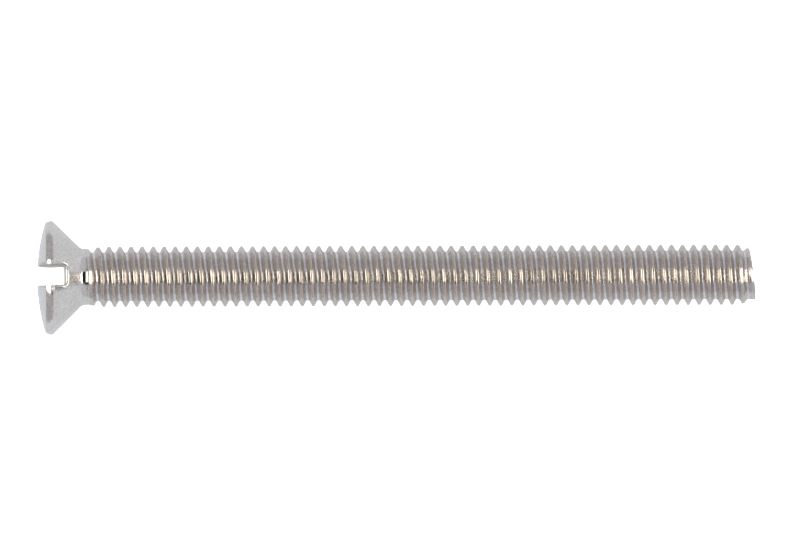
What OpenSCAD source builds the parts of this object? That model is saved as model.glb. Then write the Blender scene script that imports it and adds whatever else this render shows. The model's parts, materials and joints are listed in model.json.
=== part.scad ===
// Slotted raised countersunk machine screw, with a rolled right-hand thread over its whole
// shank. It is turned and rolled from one blank, so it is one solid. The screw is drawn
// upright, crown down and tip up, and is then laid on its side as it comes to rest.

/* [Length] */
// Nominal length, from the edge of the crown to the middle of the tip
length = 44.9; // [20:0.1:54]
// Bare neck between the countersink and the first groove
neck_len = 0.42; // [0.3:0.01:1.5]

/* [Head] */
// Largest diameter of the head
head_d = 7.25; // [6.6:0.05:8]
// How far the head stands off the axis of the shank
head_off = 0.05; // [0:0.01:0.1]
// Radius of the domed crown
crown_r = 12; // [9:0.1:16]
// Included angle of the countersink
sink_angle = 90; // [76:1:108]
// Barrel rounding of the rim, between the crown and the widest circle of the head
rim_round = 0.6; // [0.3:0.01:0.7]
// Rounding of the edge where the rim meets the crown
edge_round = 0.1; // [0.03:0.01:0.2]
// Rounding between the widest circle and the countersink
back_round = 0.15; // [0.05:0.01:0.3]
// Fillet between the countersink and the neck
neck_fillet = 0.4; // [0.15:0.01:0.5]

/* [Driver slot] */
// Width of the slot across the head
slot_w = 1.28; // [0.8:0.01:1.4]
// How far the slot stands off the middle of the head
slot_off = 0.115; // [0:0.005:0.15]
// Depth of the slot floor below the edge of the crown
slot_depth = 1.27; // [0.7:0.01:1.5]
// Rounding in the corners of the slot floor
slot_round = 0.14; // [0.05:0.01:0.25]

/* [Thread] */
// Diameter over the crests
thread_d = 3.87; // [3.3:0.01:4.6]
// Distance from one crest to the next
pitch = 0.7; // [0.6:0.01:0.84]
// Height of the thread from root to crest
thread_h = 0.39; // [0.28:0.01:0.46]
// Angle between the two flanks of a groove
flank_angle = 60; // [48:1:70]
// Width of the flat on the crest
crest_w = 0.09; // [0.05:0.01:0.12]
// Height of the full crests above the bare neck
neck_step = 0.16; // [0.1:0.01:0.25]
// Chamfer at the end of the neck, where the first groove starts
neck_chamfer = 0.15; // [0.05:0.01:0.2]
// Turns over which the first crest rises to its full height
lead_turns = 0.4; // [0.2:0.1:3]
// Place of the first crest round the axis, from the side that lies lowest
start_angle = 162; // [0:18:342]

/* [Tip] */
// Turns over which the crests fall away before the tip
tail_turns = 1.5; // [0.5:0.1:3]
// How far the crests have fallen at the tip
tail_drop = 0.35; // [0.1:0.01:0.45]
// Slant of the sheared end face
tip_slant = 7; // [0:0.5:9]

/* [Hidden] */

$fn = 96;
// Flats in one turn of the thread
steps = 20;
// How far cutters reach past what they cut
over = 1;

// Radii of the head, the crests, the roots and the neck
head_r = head_d / 2;
crest_r = thread_d / 2;
root_r = crest_r - thread_h;
neck_r = crest_r - neck_step;

// The crown is a sphere, and it meets the edge rounding at z = 0. That rounding turns into the
// barrel of the rim where both slope at rim_slope.
rim_slope = 50;
edge_mid_r = head_r - rim_round + (rim_round - edge_round) * sin(rim_slope);
edge_angle = asin(edge_mid_r / (crown_r - edge_round));
edge_mid_z = edge_round * cos(edge_angle);
crown_z = crown_r * cos(edge_angle);
edge_r = crown_r * sin(edge_angle);
// Height of the widest circle of the head, and where the barrel starts below it
rim_z = edge_mid_z + (rim_round - edge_round) * cos(rim_slope);
barrel_z = rim_z - rim_round * cos(rim_slope);
barrel_r = head_r - rim_round * (1 - sin(rim_slope));

// Where the countersink leaves the back rounding, and where it would meet the neck
half_sink = sink_angle / 2;
back_z = rim_z + back_round * sin(half_sink);
back_r = head_r - back_round * (1 - cos(half_sink));
sink_z = back_z + (back_r - neck_r) / tan(half_sink);
// The neck fillet takes this much off the cone and off the neck
fillet_cut = neck_fillet * tan(half_sink / 2);
neck_end = sink_z + neck_len;
first_groove = neck_end + neck_chamfer;

// Widths of a flank and of the root along the axis
flank_w = thread_h * tan(flank_angle / 2);
root_w = pitch - crest_w - 2 * flank_w;
// The corners of one thread, from the lower edge of its crest upwards
corner_z = [0, crest_w, crest_w + flank_w, crest_w + flank_w + root_w];
// The thread is drawn from inside the neck to past the tip, and is trimmed there
thread_z = first_groove - 1.2 * pitch;
trim_z = length + crest_r * tan(tip_slant);
rings = ceil(steps * ((trim_z - thread_z) / pitch + 1));
tail_len = tail_turns * pitch;

// At rest the slot's two corners on the rim and a full crest near the tip touch the ground.
// The slot is off the middle, so one corner reaches lower, and the screw rolls until both touch.
far_wall = slot_off + slot_w / 2;
near_wall = slot_off - slot_w / 2;
far_corner = sqrt(head_r * head_r - far_wall * far_wall);
near_corner = sqrt(head_r * head_r - near_wall * near_wall);
rest_roll = atan((near_corner - far_corner) / slot_w);
slot_rest = far_corner * cos(rest_roll) + (far_wall - head_off) * sin(rest_roll);
rest_angle = atan((slot_rest - crest_r) / (length - tail_len - rim_z));
rest_lift = rim_z * sin(rest_angle) + slot_rest * cos(rest_angle);
// Ends of the screw along the ground, from the edge of the crown
crown_end = crown_z * cos(rest_angle) - sqrt(crown_r * crown_r - near_wall * near_wall);
tip_end = length * cos(rest_angle) + root_r * tan(tip_slant);

// Radius of the crest at a height: it rises from the first groove and falls away at the tip
function crest_at(z) = max(root_r, min(
    crest_r,
    root_r + thread_h * (z - first_groove) / (lead_turns * pitch),
    crest_r - tail_drop * (z - length + tail_len) / tail_len
));

// Corner j of the thread, i flats along its helix
function thread_point(i, j) =
    let (a = start_angle + 360 * i / steps, z = thread_z + pitch * i / steps + corner_z[j])
    let (r = j < 2 ? crest_at(z) : root_r)
    [r * cos(a), r * sin(a), z];

// Half outline of the plain end of the screw: crown, rim, countersink and neck
module blank_outline() {
    intersection() {
        translate([0, crown_z]) circle(crown_r);
        translate([0, crown_z - crown_r]) square([edge_r, crown_r - crown_z]);
    }
    translate([edge_mid_r, edge_mid_z]) circle(edge_round);
    intersection() {
        translate([head_r - rim_round, rim_z]) circle(rim_round);
        translate([0, barrel_z]) square([head_r, rim_z - barrel_z]);
    }
    translate([head_r - back_round, rim_z]) circle(back_round);
    difference() {
        polygon([
            [0, 0],
            [edge_r, 0],
            [barrel_r, barrel_z],
            [head_r, rim_z],
            [back_r, back_z],
            [neck_r + fillet_cut * sin(half_sink), sink_z - fillet_cut * cos(half_sink)],
            [neck_r + neck_fillet, sink_z + fillet_cut],
            [neck_r, sink_z + fillet_cut],
            [neck_r, neck_end],
            [neck_r - neck_chamfer, first_groove],
            [0, first_groove]
        ]);
        translate([neck_r + neck_fillet, sink_z + fillet_cut]) circle(neck_fillet);
    }
}

// Threaded rod: a strip for each crest, flank and root winds up the rod, and a fan of
// triangles round a point on the axis closes each end
module threaded_rod() {
    first_cap = 4 * (rings + 1);
    last_cap = first_cap + 1;
    points = [
        for (i = [0 : rings]) for (j = [0 : 3]) thread_point(i, j),
        [0, 0, thread_z + pitch / 2],
        [0, 0, thread_z + pitch * (rings / steps - 1 / 2) + corner_z[3]]
    ];
    crests_and_flanks = [
        for (i = [0 : rings - 1]) for (j = [0 : 2])
            let (a = 4 * i + j, b = a + 4)
            each [[a, a + 1, b + 1], [a, b + 1, b]]
    ];
    roots = [
        for (i = [0 : rings - steps - 1])
            let (a = 4 * i + 3, b = a + 4, up = 4 * steps - 3)
            each [[a, a + up, b + up], [a, b + up, b]]
    ];
    first_end = [
        for (i = [0 : steps - 1]) [first_cap, 4 * i, 4 * i + 4],
        for (j = [0 : 2]) [first_cap, j + 1, j],
        [first_cap, 4 * steps, 3]
    ];
    last_end = [
        for (i = [rings - steps : rings - 1]) [last_cap, 4 * i + 7, 4 * i + 3],
        for (j = [0 : 2]) [last_cap, 4 * rings + j, 4 * rings + j + 1],
        [last_cap, 4 * (rings - steps) + 3, 4 * rings]
    ];
    polyhedron(points, concat(crests_and_flanks, roots, first_end, last_end));
}

// Slot across the crown, with rounded corners at its floor
module driver_slot() {
    top = crown_r - crown_z + over;
    translate([0, slot_off - head_off, 0]) rotate([90, 0, 90])
        linear_extrude(height = head_d + 2 * over, center = true) {
            translate([-slot_w / 2, -top]) square([slot_w, top + slot_depth - slot_round]);
            translate([slot_round - slot_w / 2, -top])
                square([slot_w - 2 * slot_round, top + slot_depth]);
            for (side = [-1, 1])
                translate([side * (slot_w / 2 - slot_round), slot_depth - slot_round])
                    circle(slot_round);
        }
}

// Everything past the slanted end face
module tip_trim() {
    translate([0, 0, length])
        rotate([-tip_slant, 0, 0])
            translate([-thread_d, -thread_d, 0])
                cube([2 * thread_d, 2 * thread_d, 2 * pitch + over]);
}

// Turns the upright screw on its side, tip down, and centres it on the ground
module at_rest() {
    translate([-(crown_end + tip_end) / 2, 0, rest_lift])
        rotate([0, 90 + rest_angle, 0]) rotate([0, 0, -rest_roll])
            children();
}

module screw() {
    color("silver")
        at_rest()
            difference() {
                union() {
                    translate([0, -head_off, 0]) rotate_extrude() blank_outline();
                    threaded_rod();
                }
                driver_slot();
                tip_trim();
            }
}

screw();
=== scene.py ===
"""A nickel-plated slotted machine screw with a raised countersunk head, lying on a pale ground.

The screw is one surface: its outline is turned round its own axis from the crown to the neck,
and from there a grid that leans with the thread carries the crests and roots to the tip.
Sizes are those of the solid, in metres, but for the thread's flanks, its first and last crests
and the neck fillet, which follow the reflections in the photograph.
"""
import json
import math

import bmesh
import bpy
import numpy as np
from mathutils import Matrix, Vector


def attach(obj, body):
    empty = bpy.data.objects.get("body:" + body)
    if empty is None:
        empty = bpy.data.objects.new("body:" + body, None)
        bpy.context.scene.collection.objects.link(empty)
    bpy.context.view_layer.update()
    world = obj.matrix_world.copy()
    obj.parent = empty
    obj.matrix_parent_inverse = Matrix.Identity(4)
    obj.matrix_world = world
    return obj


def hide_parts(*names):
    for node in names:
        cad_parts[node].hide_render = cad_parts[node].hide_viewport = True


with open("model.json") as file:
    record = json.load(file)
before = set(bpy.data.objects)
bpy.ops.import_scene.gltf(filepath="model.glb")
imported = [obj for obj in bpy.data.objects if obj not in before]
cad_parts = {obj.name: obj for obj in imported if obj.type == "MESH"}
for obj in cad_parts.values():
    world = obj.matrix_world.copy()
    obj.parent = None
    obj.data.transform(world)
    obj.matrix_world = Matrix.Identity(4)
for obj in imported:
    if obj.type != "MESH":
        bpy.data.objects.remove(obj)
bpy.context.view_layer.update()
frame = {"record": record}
MOUNTS = {m["name"]: m for m in frame["record"]["mounts"]}
MM = 0.001

# Head
HEAD_R = 3.625 * MM
HEAD_OFF = 0.05 * MM
CROWN_R = 12 * MM
RIM_ROUND = 0.6 * MM
RIM_SLOPE = math.radians(50)
EDGE_ROUND = 0.1 * MM
HALF_SINK = math.radians(45)
BACK_ROUND = 0.15 * MM
NECK_FILLET = 0.58 * MM
NECK_LEN = 0.42 * MM

# Driver slot: its shift is from the shank's axis, and its cutter reaches past the head and crown
SLOT_W = 1.28 * MM
SLOT_SHIFT = 0.065 * MM
SLOT_DEPTH = 1.27 * MM
SLOT_ROUND = 0.14 * MM
CUTTER_REACH = 4.5 * MM
CUTTER_TOP = 0.7 * MM
CUTTER_STATIONS = 61

# Wear of the slot's lower lip: how far it is pushed back, at which height and over what reach.
# From the side that faces up, it fades out between two places along the slot.
LIP_WEAR = 0.1 * MM
LIP_Z = 0.02 * MM
LIP_REACH = 0.33 * MM
LIP_FADE = (-3.2 * MM, -1.5 * MM)

# Lip of metal that the slotting saw pushed out: how far outside the slot it runs, its half width
# and half height, how many points of the slot's half section it follows, and its own fineness
BURR_OUT = 0.1 * MM
BURR_HALF_W = 0.11 * MM
BURR_HALF_H = 0.085 * MM
BURR_SECTION = 15
BURR_STATIONS = 70
BURR_AROUND = 14

# Skin of the head that the saw pressed in along the slot: depth on both sides, and reach
PRESS_UPPER = 0.05 * MM
PRESS_LOWER = 0.03 * MM
PRESS_REACH = 0.27 * MM

# Thread
CREST_R = 1.935 * MM
PITCH = 0.7 * MM
THREAD_H = 0.39 * MM
HALF_FLANK = math.radians(28)
CREST_W = 0.09 * MM
CREST_ROUND = 0.1 * MM
NECK_STEP = 0.16 * MM
NECK_CHAMFER = 0.15 * MM
START_ANGLE = math.radians(162)
# Rounding where a worn crest or a root cuts the thread's flanks
WORN_ROUND = 0.02 * MM

# Tip
LENGTH = 44.9 * MM
TAIL = 1.5 * PITCH
TAIL_DROP = 0.35 * MM
TIP_SLANT = math.radians(7)
TIP_ROUND = 0.06 * MM
TIP_DOME = 0.05 * MM

# Fineness of the surface: points round the shank, how far the head's points are drawn towards
# the slot, and where rows lie across one thread, closer together on its crest and root
AROUND = 80
HEAD_GATHER = 0.36
HALF_ROWS = np.array([0, 0.037, 0.072, 0.101, 0.124, 0.356, 0.393, 0.443])
ROWS_ACROSS = np.concatenate([HALF_ROWS, [0.5], 1 - HALF_ROWS[:0:-1]])

# Worked out from these
ROOT_R = CREST_R - THREAD_H
NECK_R = CREST_R - NECK_STEP
EDGE_MID_R = HEAD_R - RIM_ROUND + (RIM_ROUND - EDGE_ROUND) * math.sin(RIM_SLOPE)
EDGE_ANGLE = math.asin(EDGE_MID_R / (CROWN_R - EDGE_ROUND))
EDGE_MID_Z = EDGE_ROUND * math.cos(EDGE_ANGLE)
CROWN_Z = CROWN_R * math.cos(EDGE_ANGLE)
RIM_Z = EDGE_MID_Z + (RIM_ROUND - EDGE_ROUND) * math.cos(RIM_SLOPE)
BACK_Z = RIM_Z + BACK_ROUND * math.sin(HALF_SINK)
BACK_R = HEAD_R - BACK_ROUND * (1 - math.cos(HALF_SINK))
SINK_Z = BACK_Z + (BACK_R - NECK_R) / math.tan(HALF_SINK)
FILLET_CUT = NECK_FILLET * math.tan(HALF_SINK / 2)
NECK_END = SINK_Z + NECK_LEN
FIRST_GROOVE = NECK_END + NECK_CHAMFER
ROOT_ROUND = PITCH / 2 / math.tan(HALF_FLANK) - THREAD_H - CREST_ROUND
CREST_START = FIRST_GROOVE - 1.2 * PITCH + CREST_W / 2 - START_ANGLE / math.tau * PITCH

# Height along the screw and radius of the crests: they rise out of the neck in steps, stay full
# along the shank, and fall away before the tip
CREST_LINE = np.array([
    [NECK_END, NECK_R],
    [FIRST_GROOVE + 0.2 * MM, NECK_R + 0.08 * MM],
    [FIRST_GROOVE + 0.5 * MM, NECK_R + 0.11 * MM],
    [FIRST_GROOVE + 0.9 * MM, CREST_R],
    [LENGTH - 1.0 * MM, CREST_R],
    [LENGTH - 0.6 * MM, CREST_R - 0.09 * MM],
    [LENGTH, CREST_R - TAIL_DROP],
])

# At rest the slot's two corners touch the ground; one reaches lower, so the screw is rolled
FAR_WALL = SLOT_SHIFT + HEAD_OFF + SLOT_W / 2
NEAR_WALL = SLOT_SHIFT + HEAD_OFF - SLOT_W / 2
REST_ROLL = math.atan((math.sqrt(HEAD_R ** 2 - NEAR_WALL ** 2)
                       - math.sqrt(HEAD_R ** 2 - FAR_WALL ** 2)) / SLOT_W)

# The screw's own axes in the part's frame: along it, across it, and towards the ground
ALONG = Vector(MOUNTS["thread"]["axis"]).normalized()
SIDEWAYS = Vector((0, 1, 0))
ACROSS = math.cos(REST_ROLL) * SIDEWAYS + math.sin(REST_ROLL) * SIDEWAYS.cross(ALONG)
DOWN = ACROSS.cross(ALONG)
CROWN_EDGE = Vector(MOUNTS["tip_face"]["pos_m"]) - LENGTH * ALONG

# Wear of the crests and roots at four places in each turn, from five turns before the crown's
# edge, and where nicks lie, in turns. A nick is NICK_W turns wide.
random = np.random.default_rng(4)
WEAR_DEPTH = 0.022 * MM
CREST_WEAR = WEAR_DEPTH * random.random(400)
ROOT_WEAR = MM * random.uniform(-0.03, 0.006, 400)
NICKS = random.uniform(6, 60, 14)
NICK_W = 0.018
TURN_PLACES = 4
PLACES_BEFORE = 20


def place(local):
    """Points in the part's frame, from the screw's own ones: x down, y across and z along it,
    measured from the edge of the crown."""
    axes = np.array([DOWN, ACROSS, ALONG])
    return local @ axes + np.array(CROWN_EDGE)


def arc(centre_r, centre_z, radius, start, end, count):
    """Outline arc: centre + radius (sin a, -cos a), with a from the crown's axis outwards."""
    a = np.linspace(start, end, count)
    return np.stack([centre_r + radius * np.sin(a), centre_z - radius * np.cos(a)], axis=1)


def line(start, end, count):
    """Outline points evenly along a straight stretch, without its first point."""
    t = np.linspace(0, 1, count + 1)[1:, None]
    return np.array(start) * (1 - t) + np.array(end) * t


def head_outline():
    """Radius and height from the crown to the end of the neck, as arcs and lines."""
    quarter = math.pi / 2
    # The crown's first ring, and the gap that the shank's first row closes at the neck's end
    first_ring = 0.004
    neck_gap = 0.03 * MM
    crown = arc(0, CROWN_Z, CROWN_R, first_ring, EDGE_ANGLE, count=24)
    edge = arc(EDGE_MID_R, EDGE_MID_Z, EDGE_ROUND, EDGE_ANGLE, RIM_SLOPE, count=6)[1:]
    rim = arc(HEAD_R - RIM_ROUND, RIM_Z, RIM_ROUND, RIM_SLOPE, quarter, count=9)[1:]
    back = arc(HEAD_R - BACK_ROUND, RIM_Z, BACK_ROUND, quarter, quarter + HALF_SINK, count=8)[1:]
    fillet = arc(NECK_R + NECK_FILLET, SINK_Z + FILLET_CUT, -NECK_FILLET,
                 quarter + HALF_SINK, quarter, count=9)
    cone = line(back[-1], fillet[0], count=20)
    neck = line(fillet[-1], (NECK_R, NECK_END - neck_gap), count=4)
    return np.concatenate([crown, edge, rim, back, cone, fillet[1:], neck])


def skin_radius(z):
    """Radius of the head's skin at a height, read off its outline."""
    outline = head_outline()
    return np.interp(z, outline[:, 1], outline[:, 0])


def ramp(x, start, end):
    """Smooth step from 0 at start to 1 at end: t2 (3 - 2 t), where t is the share of the way."""
    t = np.clip((x - start) / (end - start), 0, 1)
    return t * t * (3 - 2 * t)


def thread_form(phase):
    """Height of the thread, 0 to 1, at a phase of 0 on the crest and 0.5 in the root.

    The crest and the root are arcs: radius - root(radius2 - distance2). Straight flanks touch
    both arcs.
    """
    x = np.abs((phase + 0.5) % 1 - 0.5) * PITCH
    reach = math.cos(HALF_FLANK)
    crest = THREAD_H - CREST_ROUND + np.sqrt(np.maximum(CREST_ROUND ** 2 - x ** 2, 0))
    up = PITCH / 2 - x
    root = ROOT_ROUND - np.sqrt(np.maximum(ROOT_ROUND ** 2 - up ** 2, 0))
    flank = ROOT_ROUND / 2 + (up - ROOT_ROUND * reach) / math.tan(HALF_FLANK)
    height = np.where(up < ROOT_ROUND * reach, root, flank)
    height = np.where(x < CREST_ROUND * reach, crest, height)
    return height / THREAD_H


def unevenness(turns, values):
    """Value along the helix, between the ones drawn at four places in each turn."""
    places = np.arange(-PLACES_BEFORE, len(values) - PLACES_BEFORE)
    return np.interp(TURN_PLACES * turns, places, values)


def soft_min(a, b, reach):
    """Lesser of two values, rounded over where they cross: b + (a - b) h - reach h (1 - h)."""
    h = np.clip(0.5 + 0.5 * (b - a) / reach, 0, 1)
    return b + (a - b) * h - reach * h * (1 - h)


def thread_radius(z, angle):
    """Radius of the shank at a height and an angle.

    It is the full thread, cut off softly at the crests' radius and filled up softly to the
    roots' radius. The crests' radius is the crest line less wear and nicks, and a nick is a dip
    of depth x exp(-(distance / width)2). The roots' radius sinks from the neck's over the first
    groove, and then varies with wear. Wear and nicks fade out before the tip.
    """
    along = z / PITCH
    turns = (z - CREST_START) / PITCH - angle / math.tau
    nick = np.exp(-((along[..., None] - NICKS) / NICK_W) ** 2).sum(axis=-1)
    wear = unevenness(along, CREST_WEAR) + WEAR_DEPTH * nick
    worn = ramp(z, LENGTH, LENGTH - 2 * TAIL)
    sunk = ramp(z, NECK_END - 0.02 * MM, FIRST_GROOVE + 0.1 * MM)
    root = NECK_R + (ROOT_R + unevenness(along, ROOT_WEAR) * worn - NECK_R) * sunk
    crest = np.interp(z, CREST_LINE[:, 0], CREST_LINE[:, 1])
    full = ROOT_R + THREAD_H * thread_form(turns)
    cut = soft_min(full, crest - wear * worn, WORN_ROUND)
    return -soft_min(-cut, -root, WORN_ROUND)


def tip_height(radius, angle):
    """Height of the slanted end face: length - y tan(slant)."""
    return LENGTH - radius * np.sin(angle) * math.tan(TIP_SLANT)


def shank_grid(angles):
    """Radius and height of the shank's rows. Each row leans with the thread, so the same row
    one turn on lies len(ROWS_ACROSS) rows further up; heights are held between the ends."""
    first = math.floor((NECK_END - CREST_START) / PITCH) - 1
    last = math.ceil((LENGTH + TAIL - CREST_START) / PITCH) + 1
    turns = (np.arange(first, last)[:, None] + ROWS_ACROSS[None, :]).ravel()
    z = CREST_START + (turns[:, None] + angles[None, :] / math.tau) * PITCH
    # The end face is slanted, so its height and the radius there are found from each other
    end = np.full(angles.shape, LENGTH)
    for _ in range(4):
        end = tip_height(thread_radius(end, angles), angles) - TIP_ROUND
    z = np.clip(z, NECK_END, end[None, :])
    return thread_radius(z, angles[None, :]), z


def end_face(edge_r, edge_z, angles):
    """Radius and height of the end face's rings, from the shank's last row inwards. Two rings
    round the rim, and the middle stands proud by dome (1 - share2), at a share of the radius."""
    inset = TIP_ROUND * np.array([0.3, 1.0])
    rise = TIP_ROUND * np.array([0.7, 1.0])
    share = np.array([0.7, 0.4, 0.02])
    radius = np.concatenate([edge_r - inset[:, None], share[:, None] * (edge_r - TIP_ROUND)])
    z = tip_height(radius, angles) - TIP_ROUND
    z[:2] += rise[:, None]
    z[2:] += TIP_ROUND + TIP_DOME * (1 - share[:, None] ** 2)
    return np.vstack([edge_r, radius]), np.vstack([edge_z, z])


def turned(radius, z, angles):
    """Points round the shank's axis: (radius cos a, radius sin a, z)."""
    return np.stack([radius * np.cos(angles), radius * np.sin(angles), z], axis=-1)


def head_grid():
    """Points of the head, from the crown to the end of the neck: its outline, turned round.

    It has twice the shank's points, drawn together towards the slot and evened out at the neck:
    a - gather sin(2 a). It stands off the shank's axis, and the neck comes back to it.
    """
    outline = head_outline()
    radius, z = outline[:, :1], outline[:, 1:]
    fine = np.arange(2 * AROUND) * math.pi / AROUND
    even = ramp(z, SINK_Z - 0.6 * MM, NECK_END)
    angles = fine - HEAD_GATHER * (1 - even) * np.sin(2 * fine)
    off = HEAD_OFF * (1 - ramp(z, SINK_Z - 0.5 * MM, NECK_END - 0.1 * MM))
    points = turned(radius, np.repeat(z, 2 * AROUND, axis=1), angles)
    points[..., 1] -= off
    return points


def grid_faces(rows, around, lean):
    """Quads of a grid of rows x around points. The last column meets the first one, lean rows
    further up."""
    row, col = np.meshgrid(np.arange(rows - 1), np.arange(around), indexing="ij")
    after = (col + 1) % around
    row_after = row + np.where(col == around - 1, lean, 0)
    keep = row_after < rows - 1
    quads = np.stack([row * around + col, row_after * around + after,
                      (row_after + 1) * around + after, (row + 1) * around + col], axis=-1)
    return quads[keep]


def neck_faces(fine, coarse, ring, after):
    """Triangles that join the head's last ring, from point fine on, to the shank's first, from
    point coarse on: three to each pair of the head's points."""
    even, odd = fine + 2 * ring, fine + 2 * ring + 1
    return [np.stack([even, odd, coarse + ring], axis=1),
            np.stack([odd, coarse + after, coarse + ring], axis=1),
            np.stack([odd, fine + 2 * after, coarse + after], axis=1)]


def fan(centre, ring, after):
    """Triangles from one point to each side of a ring."""
    return np.stack([np.full(len(ring), centre), ring, after], axis=1)


def mesh_object(name, points, faces):
    """New object from points and a list of face arrays. Points that lie closer together than a
    ten-thousandth of a millimetre are merged."""
    close = 1e-7
    mesh = bpy.data.meshes.new(name)
    mesh.from_pydata(points.tolist(), [], [list(f) for group in faces for f in group.tolist()])
    bm = bmesh.new()
    bm.from_mesh(mesh)
    bmesh.ops.remove_doubles(bm, verts=bm.verts, dist=close)
    bmesh.ops.dissolve_degenerate(bm, edges=bm.edges, dist=close)
    bmesh.ops.recalc_face_normals(bm, faces=bm.faces)
    bm.to_mesh(mesh)
    bm.free()
    piece = bpy.data.objects.new(name, mesh)
    bpy.context.scene.collection.objects.link(piece)
    return piece


def screw_body():
    """Closed surface of the whole screw, before its slot is cut: the head, the shank and the end
    face as grids, joined at the neck, and one point that closes the crown and one the tip."""
    angles = np.arange(AROUND) * math.tau / AROUND
    head = head_grid()
    shank_r, shank_z = shank_grid(angles)
    tip_r, tip_z = end_face(shank_r[-1:], shank_z[-1:], angles)
    grids = [(head, 0), (turned(shank_r, shank_z, angles), len(ROWS_ACROSS)),
             (turned(tip_r, tip_z, angles), 0)]
    points, faces, start = [], [], 0
    for grid, lean in grids:
        rows, around = grid.shape[:2]
        points.append(grid.reshape(-1, 3))
        faces.append(grid_faces(rows, around, lean) + start)
        start += rows * around
    ring = np.arange(AROUND)
    after = (ring + 1) % AROUND
    shank_start = len(points[0])
    faces += neck_faces(shank_start - 2 * AROUND, shank_start, ring, after)
    points.append(np.array([[0, -HEAD_OFF, head[0, 0, 2]], [0, 0, tip_z[-1].mean()]]))
    crown = np.arange(2 * AROUND)
    faces.append(fan(start, (crown + 1) % (2 * AROUND), crown))
    faces.append(fan(start + 1, start - AROUND + ring, start - AROUND + after))
    return mesh_object("screw_nickel", np.concatenate(points), faces)


def bar(name, points):
    """Closed bar, from rings of points along it."""
    stations, around = points.shape[:2]
    ring = np.arange(around)[None, :]
    return mesh_object(name, points.reshape(-1, 3),
                       [grid_faces(stations, around, 0), ring[:, ::-1],
                        ring + (stations - 1) * around])


def slot_section():
    """Half of the slot's section as (y, z), from the middle of its floor to high up its wall."""
    half = SLOT_W / 2
    corner = np.linspace(math.pi / 2, 0, 7)
    floor_y = np.linspace(0, half - SLOT_ROUND, 6)[:-1]
    floor = np.stack([floor_y, np.full(len(floor_y), SLOT_DEPTH)], axis=1)
    bend = np.stack([half - SLOT_ROUND * (1 - np.cos(corner)),
                     SLOT_DEPTH - SLOT_ROUND * (1 - np.sin(corner))], axis=1)
    wall = line(bend[-1], (half, -CUTTER_TOP), count=14)
    return np.concatenate([floor, bend, wall])


def slot_cutter():
    """Bar with the slot's section, run right across the head. At its mouth the lower lip is worn
    wider by wear x exp(-(distance / reach)2), which fades out along the slot."""
    half = slot_section()
    upper = half + [SLOT_SHIFT, 0]
    lower = (half * [-1, 1] + [SLOT_SHIFT, 0])[1:]
    plain = np.concatenate([upper[::-1], lower])
    worn = plain.copy()
    worn[len(upper):, 0] -= LIP_WEAR * np.exp(-((lower[:, 1] - LIP_Z) / LIP_REACH) ** 2)
    stations = np.linspace(-CUTTER_REACH, CUTTER_REACH, CUTTER_STATIONS)[:, None, None]
    fade = ramp(stations, *LIP_FADE)
    section = worn * (1 - fade) + plain * fade
    x = np.broadcast_to(stations, (CUTTER_STATIONS, len(plain), 1))
    return bar("slot_cutter", np.concatenate([x, section], axis=2))


def unit(vectors):
    """The vectors, each with length 1."""
    return vectors / np.linalg.norm(vectors, axis=1)[:, None]


def slot_burr():
    """Lip of metal pushed out where the slot leaves the cone, on the side that faces up.

    It is a flat tube: an ellipse, carried along a path and smaller towards both ends. The path
    follows the edge of the slot's floor and the feet of its walls, a little outside them, and
    lies on the cone: x = -root(radius2 - y2), with y from the head's axis.
    """
    half = slot_section()[:BURR_SECTION]
    section = np.concatenate([(half * [-1, 1])[::-1], half[1:]])
    share = np.linspace(0, 1, BURR_STATIONS)
    y, z = (np.interp(share, np.linspace(0, 1, len(section)), values) for values in section.T)
    at_wall = ramp(np.abs(y), SLOT_W / 2 - SLOT_ROUND, SLOT_W / 2)
    y = y + BURR_OUT * np.sign(y) * at_wall
    z = z + BURR_OUT * (1 - at_wall)
    cone_r = BACK_R - (z - BACK_Z)
    x = -np.sqrt(cone_r ** 2 - (y + SLOT_SHIFT + HEAD_OFF) ** 2)
    centre = np.stack([x, y + SLOT_SHIFT, z], axis=1)
    # It grows over its first and last 12 stations, and varies by a value drawn at every fifth
    station = np.arange(BURR_STATIONS)
    fade = ramp(np.minimum(station, station[::-1]), -3, 12)
    drawn_at = np.arange(0, BURR_STATIONS + 5, 5)
    wobble = 0.93 + 0.14 * np.interp(station, drawn_at, random.random(len(drawn_at)))
    size = (fade * wobble)[:, None, None]
    up = np.array([-1.0, 0, 0])
    side = unit(np.cross(unit(np.gradient(centre, axis=0)), up))
    turn = (np.arange(BURR_AROUND) * math.tau / BURR_AROUND)[None, :, None]
    width = BURR_HALF_W * size * np.cos(turn)
    height = BURR_HALF_H * size * np.sin(turn)
    return bar("slot_burr", centre[:, None, :] + width * side[:, None, :] + height * up)


def apply_modifiers(piece):
    """Bakes the piece's modifiers into its mesh."""
    graph = bpy.context.evaluated_depsgraph_get()
    old = piece.data
    piece.data = bpy.data.meshes.new_from_object(piece.evaluated_get(graph))
    piece.modifiers.clear()
    bpy.data.meshes.remove(old)


def combine(body, tool, operation):
    """Joins a tool to the body, or cuts it out, and removes the tool."""
    step = body.modifiers.new(operation.lower(), "BOOLEAN")
    step.operation = operation
    step.object = tool
    step.solver = "MANIFOLD"
    apply_modifiers(body)
    bpy.data.objects.remove(tool)


def read_points(mesh):
    """Places of the mesh's points, one row each."""
    places = np.empty(len(mesh.vertices) * 3)
    mesh.vertices.foreach_get("co", places)
    return places.reshape(-1, 3)


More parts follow.
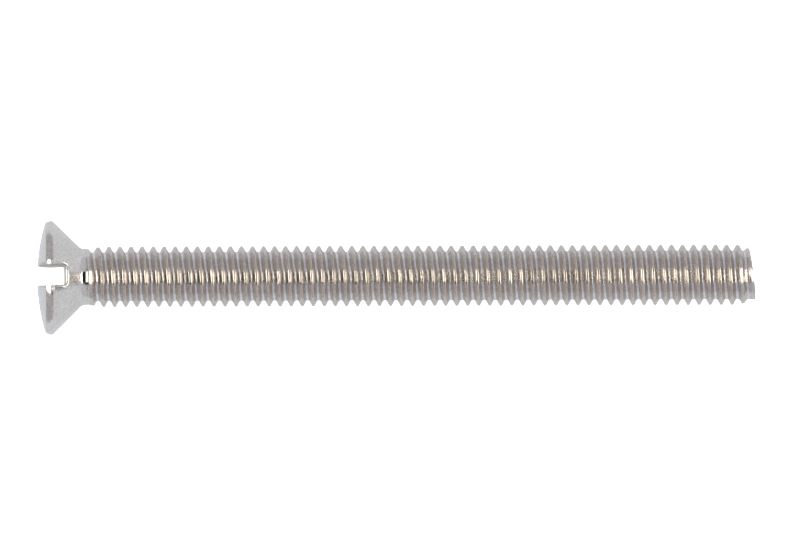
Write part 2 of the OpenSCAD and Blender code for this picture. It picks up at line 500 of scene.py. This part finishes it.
def press_edges(piece):
    """Presses the head's skin in a little along the slot's edges, on the side that faces up.

    A point sinks towards the head's axis by depth x exp(-(gap / reach)2), where the gap is its
    distance from the wall. Only points on the skin sink, and less so near the middle.
    """
    middle, far = 1.2 * MM, 2.6 * MM
    local = read_points(piece.data)
    x, y, z = local.T
    gap = np.maximum(np.abs(y - SLOT_SHIFT) - SLOT_W / 2, 0)
    radius = np.hypot(x, y + HEAD_OFF)
    on_skin = (radius > skin_radius(z) - 0.02 * MM) & (radius > middle) & (z < SLOT_DEPTH)
    depth = np.where(y > SLOT_SHIFT, PRESS_UPPER, PRESS_LOWER)
    depth *= np.exp(-(gap / PRESS_REACH) ** 2) * on_skin
    depth *= ramp(np.abs(x), middle, far) * (x < 0)
    local[:, 0] += depth
    piece.data.vertices.foreach_set("co", local.ravel())


def note(mesh, name, kind, domain, values):
    """New attribute of a kind, FLOAT or FLOAT_VECTOR, on the mesh's points or faces."""
    field = "vector" if kind == "FLOAT_VECTOR" else "value"
    attribute = mesh.attributes.new(name, kind, domain)
    attribute.data.foreach_set(field, values.ravel().astype(np.float32))


def note_thread(mesh):
    """Notes where each point lies on the thread.

    thread_lie holds the cosine and sine of the phase across the thread, and the height in mm.
    thread_share is 0 on the head and 1 on the shank.
    """
    x, y, z = read_points(mesh).T
    phase = math.tau * ((z - CREST_START) / PITCH - np.arctan2(y, x) / math.tau)
    note(mesh, "thread_lie", "FLOAT_VECTOR", "POINT",
         np.stack([np.cos(phase), np.sin(phase), z / MM], axis=1))
    note(mesh, "thread_share", "FLOAT", "POINT", ramp(z, NECK_END, FIRST_GROOVE))


def note_slot(mesh):
    """Notes which faces are the slot's: in_slot is 1 where the middle of a face lies under the
    head's skin, no deeper than the slot's floor and no further out than its worn walls."""
    under_skin, under_floor, past_wall = 0.015 * MM, 0.01 * MM, 0.12 * MM
    middle = np.empty(len(mesh.polygons) * 3)
    mesh.polygons.foreach_get("center", middle)
    x, y, z = middle.reshape(-1, 3).T
    inside = np.hypot(x, y + HEAD_OFF) < skin_radius(z) - under_skin
    inside &= z < SLOT_DEPTH + under_floor
    inside &= np.abs(y - SLOT_SHIFT) < SLOT_W / 2 + past_wall
    note(mesh, "in_slot", "FLOAT", "FACE", inside)


def finish_mesh(piece):
    """Notes where the points and faces lie, puts the mesh in the part's frame, and shades it
    smooth, with edges over 45 degrees sharp."""
    mesh = piece.data
    note_thread(mesh)
    note_slot(mesh)
    mesh.vertices.foreach_set("co", place(read_points(mesh)).ravel())
    mesh.update()
    mesh.shade_smooth()
    mesh.set_sharp_from_angle(angle=math.radians(45))
    weigh = piece.modifiers.new("weighted_normals", "WEIGHTED_NORMAL")
    weigh.keep_sharp = True
    apply_modifiers(piece)


def node_group(name, inputs, outputs):
    """Empty shader group with named sockets, each given as (name, kind, default)."""
    group = bpy.data.node_groups.new(name, "ShaderNodeTree")
    for items, way in ((inputs, "INPUT"), (outputs, "OUTPUT")):
        for label, kind, default in items:
            socket = group.interface.new_socket(label, in_out=way, socket_type=kind)
            if default is not None:
                socket.default_value = default
    start = group.nodes.new("NodeGroupInput")
    end = group.nodes.new("NodeGroupOutput")
    return group, start, end


def add(tree, kind, links=(), **settings):
    """New node with settings, and its inputs linked or set from (input, source or value)."""
    node = tree.nodes.new(kind)
    for key, value in settings.items():
        setattr(node, key, value)
    for key, source in dict(links).items():
        if isinstance(source, bpy.types.NodeSocket):
            tree.links.new(source, node.inputs[key])
        else:
            node.inputs[key].default_value = source
    return node


def calc(tree, operation, *values):
    """Math node on sockets or numbers."""
    return add(tree, "ShaderNodeMath", enumerate(values), operation=operation).outputs[0]


def carry(tree, value, low, high, to_low=0.0, to_high=1.0):
    """Value carried from between low and high to between to_low and to_high, and held there."""
    return add(tree, "ShaderNodeMapRange",
               {"Value": value, "From Min": low, "From Max": high,
                "To Min": to_low, "To Max": to_high}).outputs[0]


def blend(tree, factor, first, second):
    """Colour between two: the first where the factor is 0, the second where it is 1."""
    return add(tree, "ShaderNodeMix", {"Factor": factor, "A": first, "B": second},
               data_type="RGBA").outputs["Result"]


def noise(tree, where, scale, detail, roughness=0.5):
    """Noise between 0 and 1 at a place."""
    return add(tree, "ShaderNodeTexNoise", {"Vector": where, "Scale": scale, "Detail": detail,
                                            "Roughness": roughness}).outputs["Fac"]


def noted(tree, name, output="Fac"):
    """What the mesh notes under a name."""
    return add(tree, "ShaderNodeAttribute", attribute_name=name).outputs[output]


def relief_group():
    """Small unevenness of the plate, as a height in mm: grain, which is deeper on the flanks and
    shallower on the neck and the crests, shallow dents, and lines that run along the thread."""
    group, start, end = node_group("plate_relief", [
        ("Grain Size", "NodeSocketFloat", 0.07), ("Grain Depth", "NodeSocketFloat", 0.0055),
        ("Line Depth", "NodeSocketFloat", 0.009), ("Dent Depth", "NodeSocketFloat", 0.004),
    ], [("Height", "NodeSocketFloat", None)])
    line_scale = (2.4, 2.4, 0.7)
    cone_end_mm, neck_start_mm = 2.15, 2.3
    shank_more, quiet_less = 0.8, 1.3

    where = add(group, "ShaderNodeTexCoord").outputs["Object"]
    grain_scale = calc(group, "DIVIDE", 1 / MM, start.outputs["Grain Size"])
    grain = noise(group, where, scale=grain_scale, detail=2.0, roughness=0.6)
    swell = noise(group, where, scale=3500.0, detail=1.0)
    lie = noted(group, "thread_lie", "Vector")
    share = noted(group, "thread_share")
    flat = add(group, "ShaderNodeVectorMath", {0: lie, 1: line_scale}, operation="MULTIPLY")
    lines = noise(group, flat.outputs[0], scale=1.0, detail=2.0)

    # X is the cosine of the phase, 1 on the crest and -1 in the root, and Z is the height in mm
    split = add(group, "ShaderNodeSeparateXYZ", {0: lie}).outputs
    off_crest = carry(group, split["X"], 0.9, 0.5)
    on_neck = carry(group, split["Z"], cone_end_mm, neck_start_mm)
    on_flank = calc(group, "MULTIPLY", off_crest, share)
    quiet = calc(group, "MULTIPLY", on_neck, calc(group, "SUBTRACT", 1.0, on_flank))
    deep = calc(group, "ADD", 1.0, calc(group, "MULTIPLY", share, shank_more))
    grain_share = calc(group, "SUBTRACT", deep, calc(group, "MULTIPLY", quiet, quiet_less))

    line_height = calc(group, "MULTIPLY", calc(group, "MULTIPLY", lines, share),
                       start.outputs["Line Depth"])
    grain_height = calc(group, "MULTIPLY", calc(group, "MULTIPLY", grain, grain_share),
                        start.outputs["Grain Depth"])
    dents = calc(group, "MULTIPLY", swell, start.outputs["Dent Depth"])
    total = calc(group, "ADD", calc(group, "ADD", grain_height, line_height), dents)
    group.links.new(total, end.inputs["Height"])
    return group


def wear_and_painted_light_group():
    """Colour and gloss of the plate: paler and bluer in the roots as a painted reflection, duller
    and warmer on the flanks, and darker in the slot as painted shade, and duller there."""
    group, start, end = node_group("plate_wear_and_painted_light", [
        ("Plate", "NodeSocketColor", (0.83, 0.79, 0.74, 1)),
        ("Root Painted Reflection", "NodeSocketColor", (0.84, 0.85, 0.89, 1)),
        ("Flank", "NodeSocketColor", (0.745, 0.68, 0.625, 1)),
        ("Gloss", "NodeSocketFloat", 0.06), ("Dull", "NodeSocketFloat", 0.16),
        ("Flank Dull", "NodeSocketFloat", 0.12), ("Slot Painted Shade", "NodeSocketFloat", 0.25),
        ("Slot Dull", "NodeSocketFloat", 0.22),
    ], [("Color", "NodeSocketColor", None), ("Roughness", "NodeSocketFloat", None)])
    where = add(group, "ShaderNodeTexCoord").outputs["Object"]
    cloud = noise(group, where, scale=900.0, detail=4.0)
    fleck = noise(group, where, scale=9000.0, detail=2.0)
    share = noted(group, "thread_share")
    in_slot = noted(group, "in_slot")
    # The cosine of the phase is 1 on the crest and -1 in the root
    cosine = add(group, "ShaderNodeSeparateXYZ",
                 {0: noted(group, "thread_lie", "Vector")}).outputs["X"]
    in_root = calc(group, "MULTIPLY", carry(group, cosine, -0.82, -0.97), share)
    off_crest = calc(group, "MULTIPLY", carry(group, cosine, 0.85, 0.5, to_low=0.4), share)

    flank = blend(group, share, start.outputs["Plate"], start.outputs["Flank"])
    # Painted reflection: the colour turns paler and bluer at the bottom of the roots
    plate = blend(group, in_root, flank, start.outputs["Root Painted Reflection"])
    speck = carry(group, fleck, 0.38, 0.62, 0.85, 1.04)
    shade = carry(group, cloud, 0.3, 0.7, 0.94, 1.03)
    # Painted shade: the colour is darkened inside the slot
    slot_painted_shade = calc(group, "SUBTRACT", 1.0,
                     calc(group, "MULTIPLY", in_slot, start.outputs["Slot Painted Shade"]))
    tint = calc(group, "MULTIPLY", calc(group, "MULTIPLY", speck, shade), slot_painted_shade)
    mottled = add(group, "ShaderNodeVectorMath", {0: plate, "Scale": tint}, operation="SCALE")
    group.links.new(mottled.outputs[0], end.inputs["Color"])

    patch = carry(group, cloud, 0.4, 0.62)
    dull = calc(group, "MULTIPLY", calc(group, "MULTIPLY", patch, fleck), start.outputs["Dull"])
    flank_dull = calc(group, "MULTIPLY", off_crest, start.outputs["Flank Dull"])
    slot_dull = calc(group, "MULTIPLY", in_slot, start.outputs["Slot Dull"])
    rough = calc(group, "ADD", calc(group, "ADD", dull, flank_dull), slot_dull)
    group.links.new(calc(group, "ADD", rough, start.outputs["Gloss"]), end.inputs["Roughness"])
    return group


def nickel():
    """Bright nickel plate over rolled steel."""
    material = bpy.data.materials.new("nickel_plate")
    material.use_nodes = True
    tree = material.node_tree
    shader = tree.nodes["Principled BSDF"]
    shader.inputs["Metallic"].default_value = 1
    # Besides wear, this group paints shade into the slot and a reflection into the roots
    wear = add(tree, "ShaderNodeGroup", node_tree=wear_and_painted_light_group())
    relief = add(tree, "ShaderNodeGroup", node_tree=relief_group())
    bump = add(tree, "ShaderNodeBump", {"Strength": 1.0, "Distance": MM,
                                        "Height": relief.outputs["Height"]})
    tree.links.new(wear.outputs["Color"], shader.inputs["Base Color"])
    tree.links.new(wear.outputs["Roughness"], shader.inputs["Roughness"])
    tree.links.new(bump.outputs["Normal"], shader.inputs["Normal"])
    return material


def build_screw():
    """The screw: its body, with the slot cut, the burr joined on and the slot's edges pressed."""
    body = screw_body()
    combine(body, slot_cutter(), "DIFFERENCE")
    combine(body, slot_burr(), "UNION")
    press_edges(body)
    finish_mesh(body)
    body.data.materials.clear()
    body.data.materials.append(nickel())
    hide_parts("screw")
    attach(body, "root")


# Studio: the picture's width and scale, and where the camera looks from
PICTURE_W_PX = 800
PIXELS_PER_MM = 15.729
SENSOR_W_MM = 36
CAMERA_HEIGHT = 1.2
VIEW_CENTRE = Vector((0.226 * MM, 0.596 * MM, 0))
VIEW_TURN = math.radians(0.19)

# Lamps: left edge and right edge as (x, z), span across the screw, and radiance. Two hang high
# over the screw, and two hang low, off its ends.
LAMPS = {
    "lamp_over_head": ((-0.20, 1.5), (-0.05, 1.5), (-0.6, 0.6), 2.3),
    "lamp_over_tip": ((0.05, 1.5), (0.20, 1.5), (-0.6, 0.6), 2.3),
    "lamp_head": ((-0.30, 0.05), (-0.044, 0.07), (-0.036, 0.029), 3.9),
    "lamp_tip": ((0.056, 0.06), (0.30, 0.05), (-0.036, 0.029), 4.1),
}
LAMP_COLOUR = (1, 0.95, 0.87)

# Tones of the ground and the tent, as the screw mirrors them
WHITE = (1, 1, 1, 1)
BLACK = (0.02, 0.02, 0.02, 1)
GROUND_WHITE = (0.95, 0.95, 0.95, 1)
GROUND_PAST_HEAD = (0.47, 0.48, 0.50, 1)
GROUND_BLUE = (0.75, 0.79, 0.86, 1)
TENT_STRIP = (0.27, 0.28, 0.30, 1)
TENT_GREY = (0.46, 0.46, 0.49, 1)
TENT_TIP = (0.55, 0.57, 0.62, 1)


def camera():
    """Looks straight down on the screw from far off, as the photograph does."""
    data = bpy.data.cameras.new("camera")
    data.sensor_width = SENSOR_W_MM
    data.lens = SENSOR_W_MM * CAMERA_HEIGHT / (PICTURE_W_PX / PIXELS_PER_MM * MM)
    data.clip_end = 10
    obj = bpy.data.objects.new("camera", data)
    obj.location = VIEW_CENTRE + Vector((0, 0, CAMERA_HEIGHT))
    obj.rotation_euler = (0, 0, -VIEW_TURN)
    bpy.context.scene.collection.objects.link(obj)
    bpy.context.scene.camera = obj


def ground():
    """Plain white ground. The screw mirrors it dimmer and a little blue, grey past the head, and
    black in a strip past the tip."""
    size = 2.0
    past_head_x = (-0.032, -0.027)
    past_tip_x = 0.03
    strip_y, strip_half_w = -0.002, 0.012
    glow_share = 0.75
    points = np.array([[-size, -size, 0], [size, -size, 0], [size, size, 0], [-size, size, 0]])
    floor = mesh_object("ground", points, [np.arange(4)[None, :]])
    material = bpy.data.materials.new("white_ground")
    material.use_nodes = True
    tree = material.node_tree
    tree.nodes.clear()

    where = add(tree, "ShaderNodeTexCoord").outputs["Object"]
    split = add(tree, "ShaderNodeSeparateXYZ", {0: where}).outputs
    under_screw = carry(tree, split["X"], *past_head_x)
    past_tip = calc(tree, "MULTIPLY", calc(tree, "GREATER_THAN", split["X"], past_tip_x),
                    calc(tree, "COMPARE", split["Y"], strip_y, strip_half_w))
    pale = blend(tree, under_screw, GROUND_PAST_HEAD, GROUND_BLUE)
    tone = blend(tree, past_tip, pale, BLACK)
    matt = add(tree, "ShaderNodeBsdfDiffuse", {"Color": tone})
    lift = add(tree, "ShaderNodeEmission", {"Color": tone, "Strength": 0.9})
    mirrored = add(tree, "ShaderNodeMixShader",
                   {"Fac": glow_share, 1: matt.outputs[0], 2: lift.outputs[0]})

    white = add(tree, "ShaderNodeBsdfDiffuse", {"Color": GROUND_WHITE})
    glow = add(tree, "ShaderNodeEmission", {"Color": WHITE, "Strength": 0.9})
    seen = add(tree, "ShaderNodeAddShader", {0: white.outputs[0], 1: glow.outputs[0]})
    camera_ray = add(tree, "ShaderNodeLightPath").outputs["Is Camera Ray"]
    mix = add(tree, "ShaderNodeMixShader",
              {"Fac": camera_ray, 1: mirrored.outputs[0], 2: seen.outputs[0]})
    add(tree, "ShaderNodeOutputMaterial", {"Surface": mix.outputs[0]})
    floor.data.materials.append(material)


def lamp(name, left, right, across, radiance):
    """Soft rectangular lamp over the screw, from its left edge to its right one, each (x, z),
    and between two places across the screw."""
    run = Vector((right[0] - left[0], 0, right[1] - left[1]))
    data = bpy.data.lights.new(name, "AREA")
    data.shape = "RECTANGLE"
    data.color = LAMP_COLOUR
    data.size = run.length
    data.size_y = across[1] - across[0]
    data.energy = radiance * math.pi * data.size * data.size_y
    obj = bpy.data.objects.new(name, data)
    obj.location = ((left[0] + right[0]) / 2, sum(across) / 2, (left[1] + right[1]) / 2)
    obj.rotation_euler = (0, -math.atan2(run.z, run.x), 0)
    obj.visible_camera = False
    bpy.context.scene.collection.objects.link(obj)


def tent():
    """Grey tent round the screw, by the angles of a direction along and across the screw. Its
    roof is open, and so dark, where the lamps stand. It is dim in a strip overhead, across the
    screw, and paler towards the tip."""
    world = bpy.data.worlds.new("tent")
    bpy.context.scene.world = world
    world.use_nodes = True
    tree = world.node_tree
    direction = add(tree, "ShaderNodeTexCoord").outputs["Object"]
    split = add(tree, "ShaderNodeSeparateXYZ", {0: direction}).outputs
    along = calc(tree, "ARCTAN2", split["X"], split["Z"])
    across = calc(tree, "ARCTAN2", split["Y"], split["Z"])
    # The opening reaches 95 degrees each way along the screw. Across it, the opening's middle
    # lies 4 degrees off, and it reaches 27 each way.
    open_along = calc(tree, "COMPARE", along, 0.0, math.radians(95))
    open_across = calc(tree, "COMPARE", across, math.radians(-4), math.radians(27))
    opening = calc(tree, "MULTIPLY", open_along, open_across)
    off_strip = carry(tree, calc(tree, "ABSOLUTE", along), math.radians(2), math.radians(6))
    towards_tip = carry(tree, along, math.radians(4), math.radians(14))
    cloth = blend(tree, off_strip, TENT_STRIP, TENT_GREY)
    cloth = blend(tree, towards_tip, cloth, TENT_TIP)
    roof = blend(tree, opening, cloth, BLACK)
    camera_ray = add(tree, "ShaderNodeLightPath").outputs["Is Camera Ray"]
    tree.links.new(blend(tree, camera_ray, roof, WHITE),
                   tree.nodes["Background"].inputs["Color"])


def studio():
    """Camera, ground, lamps and tent."""
    camera()
    ground()
    for name, settings in LAMPS.items():
        lamp(name, *settings)
    tent()
    bpy.context.scene.view_settings.view_transform = "Standard"


build_screw()
studio()
